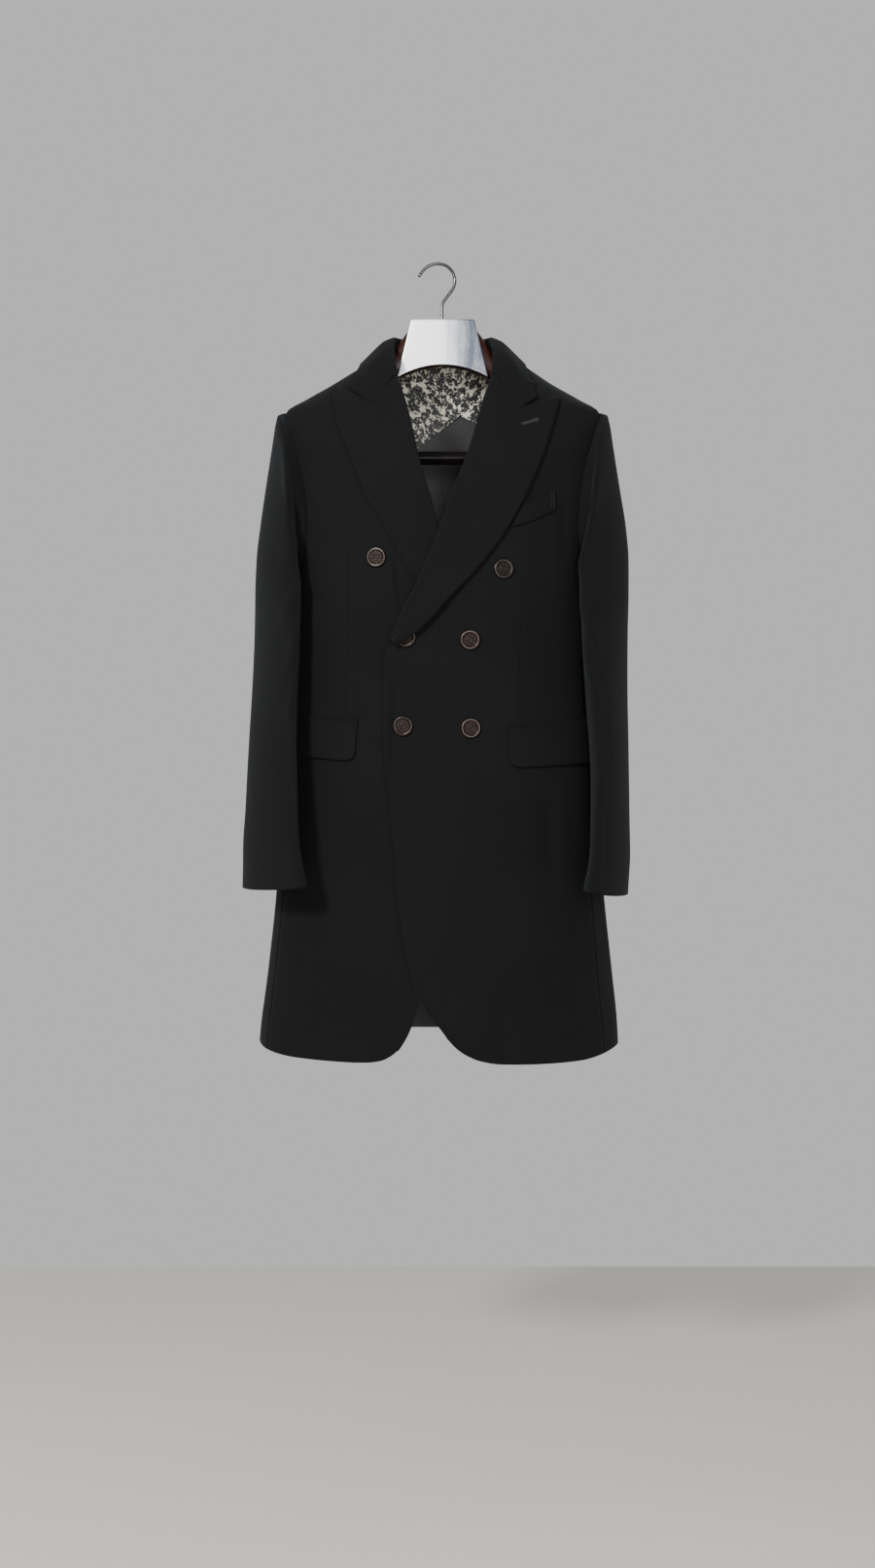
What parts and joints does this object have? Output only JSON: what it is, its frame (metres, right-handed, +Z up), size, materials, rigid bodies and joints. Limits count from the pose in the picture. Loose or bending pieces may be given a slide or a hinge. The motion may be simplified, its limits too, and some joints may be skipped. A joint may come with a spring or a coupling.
{
  "type": "double-breasted overcoat on a hanger",
  "caption": "Near-black wool double-breasted overcoat with peak lapels, flap pockets and metallic buttons, hanging closed on a dark wooden hanger with a wire hook.",
  "frame": {"origin": "inside top of the hanger's hook, where it hangs on a rod", "axes": "+Z up, -Y the coat's front, +X the wearer's left"},
  "size_m": [0.533, 0.2542, 1.1019],
  "materials": {
    "wool": "fine matt twill",
    "lining": "smooth mottled weave",
    "buttons": "dark bronzed satin",
    "wood": "dark gloss",
    "plate": "satin metallic",
    "wire": "polished"
  },
  "bodies": {
    "root": {"front_left": "wool", "front_right": "wool", "side_left": "wool", "side_right": "wool", "back_left": "wool", "back_right": "wool", "lapel_left": "wool", "lapel_right": "wool", "collar": "wool", "top_sleeve_left": "wool", "top_sleeve_right": "wool", "under_sleeve_left": "wool", "under_sleeve_right": "wool", "flap_left": "wool", "flap_right": "wool", "jet_left": "wool", "jet_right": "wool", "chest_welt": "wool", "button_top_left": "buttons", "button_top_right": "buttons", "button_middle_left": "buttons", "button_middle_right": "buttons", "button_low_left": "buttons", "button_low_right": "buttons", "yoke_lining": "lining", "hanger_wood": "wood", "hanger_cover": "plate", "hanger_hook": "wire", "hanger_bar": "wood"}
  },
  "joints": []
}
